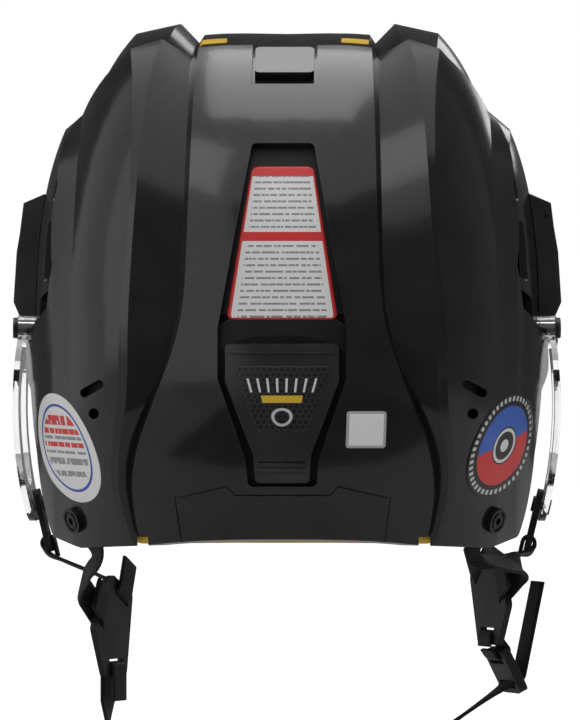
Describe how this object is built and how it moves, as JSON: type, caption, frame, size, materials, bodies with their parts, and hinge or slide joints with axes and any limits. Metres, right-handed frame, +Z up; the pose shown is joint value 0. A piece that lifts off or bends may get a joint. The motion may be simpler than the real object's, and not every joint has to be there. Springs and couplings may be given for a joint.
{
  "type": "ice hockey helmet",
  "caption": "Two-piece ice hockey helmet with foam liners, sliding length fit, side latches, rear occipital adjuster, clear ear guards and a webbing chin strap",
  "frame": {"origin": "middle of the head opening, level with the ears", "axes": "+Z up, -Y the way the face opening looks, +X the wearer's left"},
  "size_m": [0.2078, 0.2555, 0.2957],
  "materials": {
    "shell_black": "gloss",
    "matt_black": "satin",
    "yellow_foam": "matte",
    "black_foam": "matte",
    "clear_plastic": "clear gloss",
    "webbing_black": "woven",
    "black_steel": "blackened",
    "bright_steel": "brushed"
  },
  "bodies": {
    "front": {"front_shell": "shell_black", "liner_front": "black_foam", "liner_crown": "yellow_foam", "liner_temple_left": "black_foam", "liner_temple_right": "black_foam", "pad_front": "black_foam", "pad_crown": "black_foam", "pad_temple_left": "black_foam", "pad_temple_right": "black_foam", "ear_guard_left": "clear_plastic", "ear_guard_right": "clear_plastic", "strap_hook_left": "matt_black", "strap_hook_right": "matt_black", "hook_rivets": "black_steel", "ear_guard_screws": "black_steel", "ear_guard_nuts": "black_steel", "cage_nuts": "black_steel", "latch_base_left": "shell_black", "latch_base_right": "shell_black", "latch_pins": "black_steel", "strap_yoke_left": "matt_black", "strap_yoke_right": "matt_black", "strap_front_left": "webbing_black", "strap_front_right": "webbing_black", "strap_buckle": "matt_black", "strap_link": "webbing_black", "chin_strap": "webbing_black"},
    "rear": {"rear_shell": "shell_black", "adjuster_tray": "matt_black", "liner_rear": "yellow_foam", "liner_rear_side_left": "black_foam", "liner_rear_side_right": "black_foam", "strap_screws": "black_steel", "strap_nuts": "black_steel", "strap_rear_left": "webbing_black", "strap_rear_right": "webbing_black"},
    "adjuster": {"occipital_slider": "shell_black", "occipital_carrier": "matt_black", "adjuster_screw": "bright_steel", "occipital_pad": "black_foam"},
    "latch_left": {"side_latch_left": "shell_black"},
    "latch_right": {"side_latch_right": "shell_black"}
  },
  "joints": [
    {"name": "length_adjust", "type": "slide", "parent": "front", "child": "rear", "axis": [0, 1, 0], "range_m": [0, 0.015], "deforming": ["strap_rear_left", "strap_rear_right"]},
    {"name": "occipital_adjust", "type": "slide", "parent": "rear", "child": "adjuster", "axis": [0, 0.1305, 0.9914], "range_m": [0, 0.008]},
    {"name": "side_latch_left", "type": "hinge", "parent": "front", "child": "latch_left", "pos_m": [0.0981, 0, 0.0695], "axis": [0, -1, 0], "range_deg": [0, 75]},
    {"name": "side_latch_right", "type": "hinge", "parent": "front", "child": "latch_right", "pos_m": [-0.0981, 0, 0.0695], "axis": [0, 1, 0], "range_deg": [0, 75]}
  ]
}
